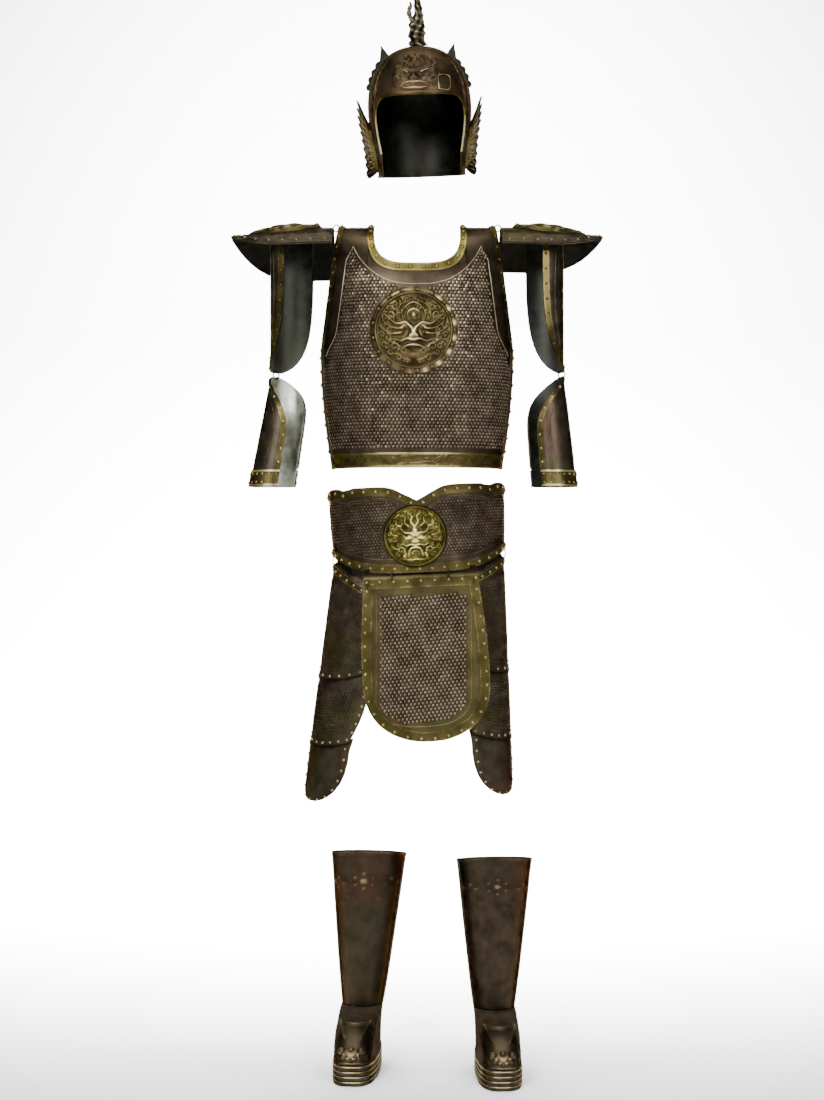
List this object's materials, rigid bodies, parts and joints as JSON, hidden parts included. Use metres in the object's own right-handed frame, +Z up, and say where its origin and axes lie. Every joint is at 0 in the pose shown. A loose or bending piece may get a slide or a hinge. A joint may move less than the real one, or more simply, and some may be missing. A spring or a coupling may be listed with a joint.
{
  "type": "suit of armour",
  "caption": "Empty standing suit of embossed bronze plate armour in an eastern style: winged helmet, cuirass, pauldrons, arm guards, belt, apron, side tassets and boots.",
  "frame": {"origin": "the point between the wearer's shoulders, at the height of the cuirass's shoulder seams", "axes": "+Z up, the front faces -Y, the wearer's left is +X"},
  "size_m": [0.7434, 0.3713, 2.1388],
  "materials": {
    "dark_bronze": "dark brown patinated bronze, embossed, satin",
    "aged_brass": "olive gold brass, worn, with domed rivets",
    "gilt_brass": "bright gilt brass relief, worn",
    "ring_iron": "dark wire",
    "boot_bronze": "dark brown patinated bronze with faint gilt relief"
  },
  "bodies": {
    "suit": {"apron_ring_left": "ring_iron", "apron_ring_right": "ring_iron", "backplate": "dark_bronze", "belt": "dark_bronze", "belt_border_lower": "aged_brass", "belt_border_upper": "aged_brass", "belt_medallion": "gilt_brass", "boot_foot_left": "boot_bronze", "boot_foot_right": "boot_bronze", "boot_shaft_left": "boot_bronze", "boot_shaft_right": "boot_bronze", "boot_sole_left": "aged_brass", "boot_sole_right": "aged_brass", "breastplate": "dark_bronze", "chest_medallion": "aged_brass", "helmet_beast_mask": "dark_bronze", "helmet_fin_left": "dark_bronze", "helmet_fin_right": "dark_bronze", "helmet_finial": "dark_bronze", "helmet_skull": "dark_bronze", "helmet_wing_left": "aged_brass", "helmet_wing_right": "aged_brass", "hem_band": "aged_brass", "neck_border": "aged_brass", "shoulder_ring_left": "ring_iron", "shoulder_ring_right": "ring_iron", "side_border_left": "aged_brass", "side_border_right": "aged_brass", "tasset_ring_upper_left": "ring_iron", "tasset_ring_upper_right": "ring_iron"},
    "pauldron_right": {"pauldron_right": "dark_bronze", "pauldron_border_right": "aged_brass", "pauldron_crest_right": "gilt_brass"},
    "upper_arm_right": {"upper_arm_guard_right": "dark_bronze", "upper_arm_border_right": "aged_brass", "elbow_ring_right": "ring_iron"},
    "forearm_right": {"forearm_guard_right": "dark_bronze", "forearm_border_right": "aged_brass", "cuff_band_right": "aged_brass"},
    "tasset_upper_right": {"tasset_upper_right": "dark_bronze", "tasset_ring_middle_right": "ring_iron"},
    "tasset_middle_right": {"tasset_middle_right": "dark_bronze", "tasset_ring_lower_right": "ring_iron"},
    "tasset_lower_right": {"tasset_lower_right": "dark_bronze"},
    "pauldron_left": {"pauldron_left": "dark_bronze", "pauldron_border_left": "aged_brass", "pauldron_crest_left": "gilt_brass"},
    "upper_arm_left": {"upper_arm_guard_left": "dark_bronze", "upper_arm_border_left": "aged_brass", "elbow_ring_left": "ring_iron"},
    "forearm_left": {"forearm_guard_left": "dark_bronze", "forearm_border_left": "aged_brass", "cuff_band_left": "aged_brass"},
    "tasset_upper_left": {"tasset_upper_left": "dark_bronze", "tasset_ring_middle_left": "ring_iron"},
    "tasset_middle_left": {"tasset_middle_left": "dark_bronze", "tasset_ring_lower_left": "ring_iron"},
    "tasset_lower_left": {"tasset_lower_left": "dark_bronze"},
    "apron": {"apron": "dark_bronze", "apron_border": "aged_brass"}
  },
  "joints": [
    {"name": "pauldron_lift_right", "type": "hinge", "parent": "suit", "child": "pauldron_right", "pos_m": [-0.1612, 0, -0.0006], "axis": [0, 1, 0], "range_deg": [0, 50]},
    {"name": "upper_arm_swing_right", "type": "hinge", "parent": "suit", "child": "upper_arm_right", "pos_m": [-0.2965, 0, -0.0203], "axis": [0, 1, 0], "range_deg": [0, 45]},
    {"name": "forearm_bend_right", "type": "hinge", "parent": "upper_arm_right", "child": "forearm_right", "pos_m": [-0.2838, 0.0271, -0.29225], "axis": [-0.5878, -0.809, 0], "range_deg": [0, 20]},
    {"name": "tasset_upper_swing_right", "type": "hinge", "parent": "suit", "child": "tasset_upper_right", "pos_m": [-0.16292, -0.017, -0.66461], "axis": [-0.1387, 0.9903, 0.0114], "range_deg": [0, 50]},
    {"name": "tasset_middle_swing_right", "type": "hinge", "parent": "tasset_upper_right", "child": "tasset_middle_right", "pos_m": [-0.19311, -0.017, -0.89472], "axis": [-0.1387, 0.9903, 0.0114], "range_deg": [0, 25]},
    {"name": "tasset_lower_swing_right", "type": "hinge", "parent": "tasset_middle_right", "child": "tasset_lower_right", "pos_m": [-0.21044, -0.017, -1.02574], "axis": [-0.1387, 0.9903, 0.0114], "range_deg": [0, 25]},
    {"name": "pauldron_lift_left", "type": "hinge", "parent": "suit", "child": "pauldron_left", "pos_m": [0.1612, 0, -0.0006], "axis": [0, -1, 0], "range_deg": [0, 50]},
    {"name": "upper_arm_swing_left", "type": "hinge", "parent": "suit", "child": "upper_arm_left", "pos_m": [0.2965, 0, -0.0179], "axis": [0, -1, 0], "range_deg": [0, 45]},
    {"name": "forearm_bend_left", "type": "hinge", "parent": "upper_arm_left", "child": "forearm_left", "pos_m": [0.29034, 0.01425, -0.29225], "axis": [-0.309, 0.9511, 0], "range_deg": [0, 12]},
    {"name": "tasset_upper_swing_left", "type": "hinge", "parent": "suit", "child": "tasset_upper_left", "pos_m": [0.17113, -0.017, -0.65002], "axis": [-0.1392, -0.9903, 0.0012], "range_deg": [0, 20]},
    {"name": "tasset_middle_swing_left", "type": "hinge", "parent": "tasset_upper_left", "child": "tasset_middle_left", "pos_m": [0.18033, -0.017, -0.88193], "axis": [-0.1392, -0.9903, 0.0012], "range_deg": [0, 25]},
    {"name": "tasset_lower_swing_left", "type": "hinge", "parent": "tasset_middle_left", "child": "tasset_lower_left", "pos_m": [0.18572, -0.017, -1.01398], "axis": [-0.1392, -0.9903, 0.0012], "range_deg": [0, 25]},
    {"name": "apron_swing", "type": "hinge", "parent": "suit", "child": "apron", "pos_m": [0.00561, -0.11775, -0.69177], "axis": [-0.999, 0, -0.0436], "range_deg": [0, 70]}
  ]
}
